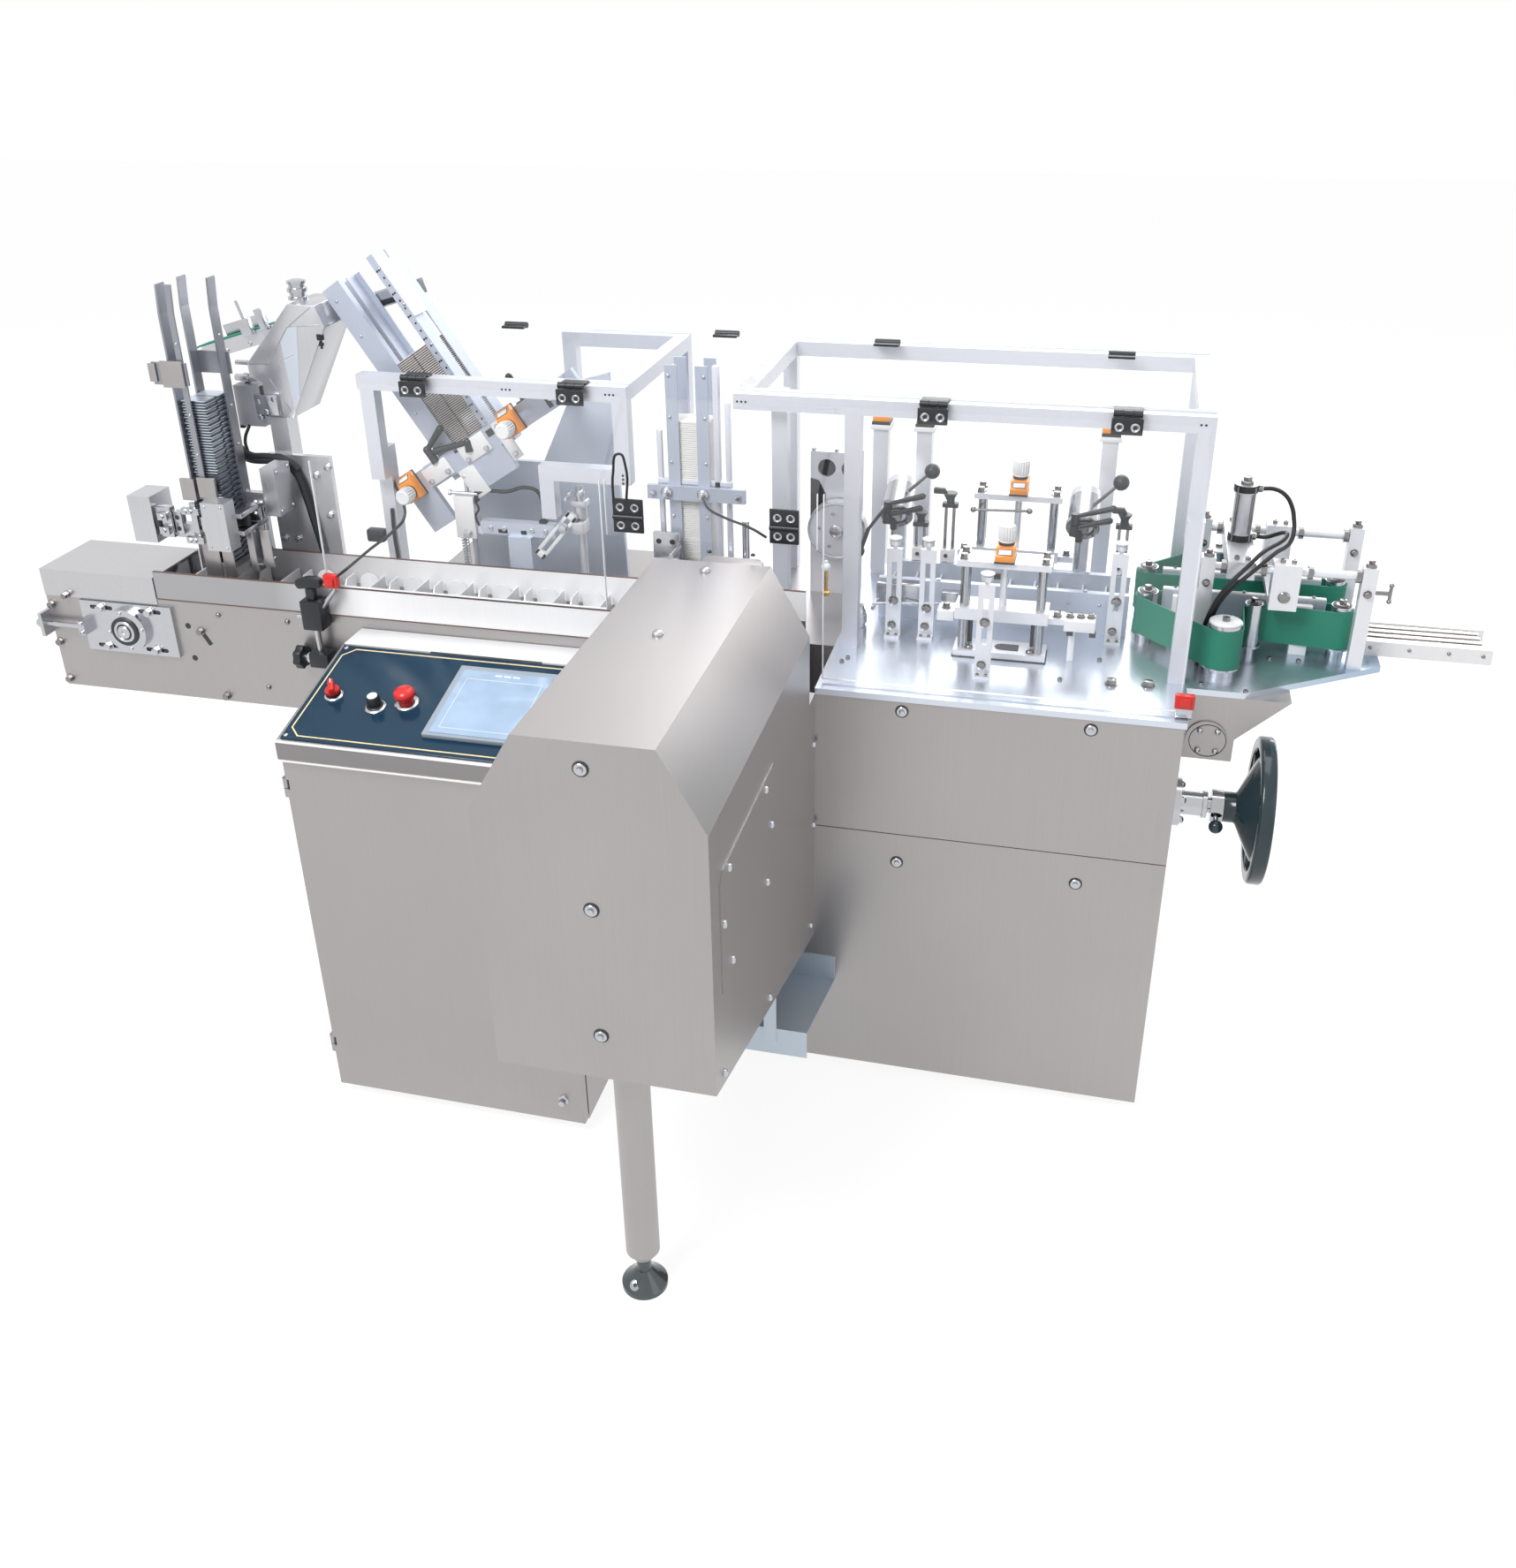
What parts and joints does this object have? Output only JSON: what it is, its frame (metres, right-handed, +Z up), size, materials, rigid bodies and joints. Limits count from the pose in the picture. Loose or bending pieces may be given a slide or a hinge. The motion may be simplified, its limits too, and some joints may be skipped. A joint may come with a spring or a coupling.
{
  "type": "automatic cartoner",
  "caption": "Horizontal cartoning machine with bucket infeed, inclined carton magazine, loader housing, tucking deck, guarded top, control desk and side-belt discharge.",
  "frame": {"origin": "centre of the main cabinet's footprint, on the floor", "axes": "+X along the line towards the discharge, +Y away from the operator, +Z up"},
  "size_m": [2.928, 1.377, 1.6142],
  "materials": {
    "stainless_sheet": "brushed stainless sheet, fine grain",
    "polished_deck": "polished stainless plate",
    "machined_steel": "turned and ground steel",
    "dark_steel": "dark satin paint",
    "pale_sheet": "bead-blasted stainless sheet",
    "pale_aluminium": "clear anodised, satin",
    "blue_aluminium": "anodised, satin",
    "dark_plastic": "moulded, fine texture",
    "red_plastic": "glossy moulded",
    "orange_plastic": "glossy moulded",
    "screen_plastic": "grey frame with a pale screen",
    "blue_panel": "satin printed panel",
    "green_belt": "matt belt cover",
    "white_plastic": "glossy moulded",
    "black_rubber": "smooth hose",
    "clear_acrylic": "clear sheet",
    "carton_board": "edges of folded cartons",
    "leaflet_paper": "edges of folded leaflets",
    "blister_pack": "stacked blister packs"
  },
  "bodies": {
    "root": {"plinth": "dark_steel", "main_cabinet": "stainless_sheet", "cover_panels": "stainless_sheet", "deck_plate": "polished_deck", "left_base": "stainless_sheet", "drive_box": "stainless_sheet", "bearing_housing": "machined_steel", "loader_housing": "stainless_sheet", "support_leg": "stainless_sheet", "levelling_foot": "dark_steel", "reject_tray": "pale_sheet", "control_cabinet": "stainless_sheet", "control_desk": "stainless_sheet", "control_panel": "blue_panel", "touch_screen": "screen_plastic", "panel_knobs": "dark_plastic", "stop_button": "red_plastic", "infeed_side_plates": "stainless_sheet", "trough_walls": "pale_sheet", "infeed_end_cover": "pale_sheet", "take_up_unit": "machined_steel", "bucket_chain": "machined_steel", "bucket_flights": "pale_sheet", "product_magazine": "stainless_sheet", "product_stack": "blister_pack", "feeder_boxes": "stainless_sheet", "leaflet_feeder": "stainless_sheet", "leaflet_cover": "stainless_sheet", "leaflet_belt": "green_belt", "carton_magazine": "blue_aluminium", "carton_stack": "carton_board", "magazine_bar": "blue_aluminium", "magazine_support": "blue_aluminium", "leaflet_magazine": "blue_aluminium", "leaflet_stack": "leaflet_paper", "carton_conveyor": "blue_aluminium", "tuck_presses": "pale_aluminium", "deck_posts": "pale_aluminium", "position_indicators": "orange_plastic", "indicator_knobs": "white_plastic", "hold_down_drives": "pale_aluminium", "tape_unit": "pale_aluminium", "discharge_belts": "green_belt", "discharge_rollers": "machined_steel", "belt_guides": "blue_aluminium", "hold_down_frame": "pale_aluminium", "air_cylinder": "machined_steel", "air_hose_top": "black_rubber", "air_hose_low": "black_rubber", "discharge_chute": "pale_sheet", "guard_rails": "pale_aluminium", "guard_frame": "pale_aluminium", "roof_panels": "clear_acrylic", "centre_guard": "clear_acrylic", "guard_hinges": "dark_plastic"},
    "control_door": {"control_door": "stainless_sheet"},
    "handwheel": {"handwheel": "dark_plastic", "handwheel_shaft": "machined_steel"},
    "left_guard_door": {"left_guard_door": "clear_acrylic"},
    "right_guard_door": {"right_guard_door": "clear_acrylic"}
  },
  "joints": [
    {"name": "control_door_hinge", "type": "hinge", "parent": "root", "child": "control_door", "pos_m": [-1.281, -0.628, 0.43], "axis": [0, 0, -1], "range_deg": [0, 110]},
    {"name": "handwheel_turn", "type": "hinge", "parent": "root", "child": "handwheel", "pos_m": [0.407, -0.195, 0.665], "axis": [1, 0, 0], "continuous": true},
    {"name": "left_guard_hinge", "type": "hinge", "parent": "root", "child": "left_guard_door", "pos_m": [-1.033, -0.147, 1.397], "axis": [-1, 0, 0], "range_deg": [0, 75]},
    {"name": "right_guard_hinge", "type": "hinge", "parent": "root", "child": "right_guard_door", "pos_m": [-0.003, -0.147, 1.397], "axis": [-1, 0, 0], "range_deg": [0, 75]}
  ]
}
